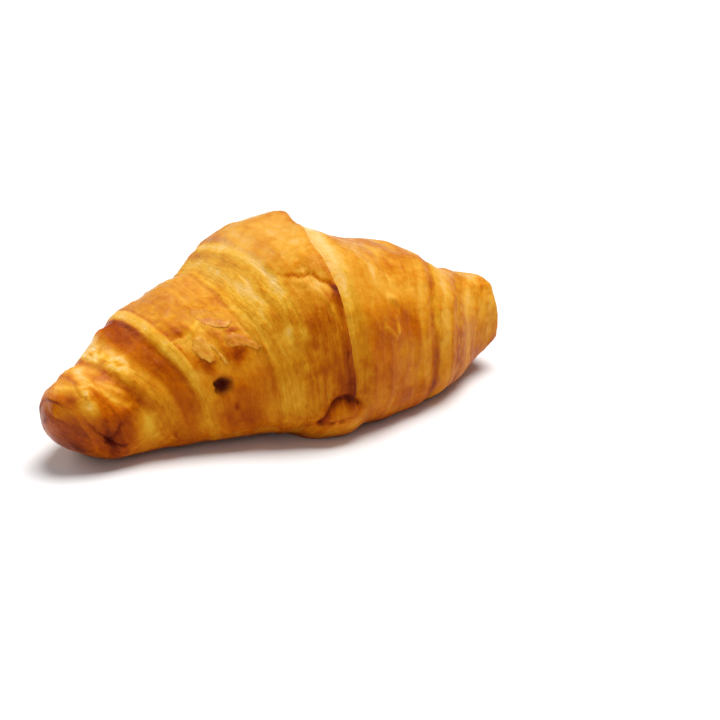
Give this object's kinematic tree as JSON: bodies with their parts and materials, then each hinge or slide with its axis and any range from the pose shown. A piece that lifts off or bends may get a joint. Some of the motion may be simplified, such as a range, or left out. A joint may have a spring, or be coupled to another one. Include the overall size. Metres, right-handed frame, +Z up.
{
  "type": "croissant",
  "caption": "Baked butter croissant, a rolled dough loaf with stepped wound layers, tapering to a bent horn at one end and a short straight one at the other.",
  "frame": {"origin": "centre of the bounding box's base, on the table that the croissant rests on", "axes": "+X along the roll toward the straight horn, +Z up, and -Y toward the side that the bent horn and the tucked tail of the dough point to"},
  "size_m": [0.1608, 0.085, 0.058],
  "materials": {
    "crust": "satin"
  },
  "bodies": {
    "root": {"croissant": "crust"}
  },
  "joints": []
}
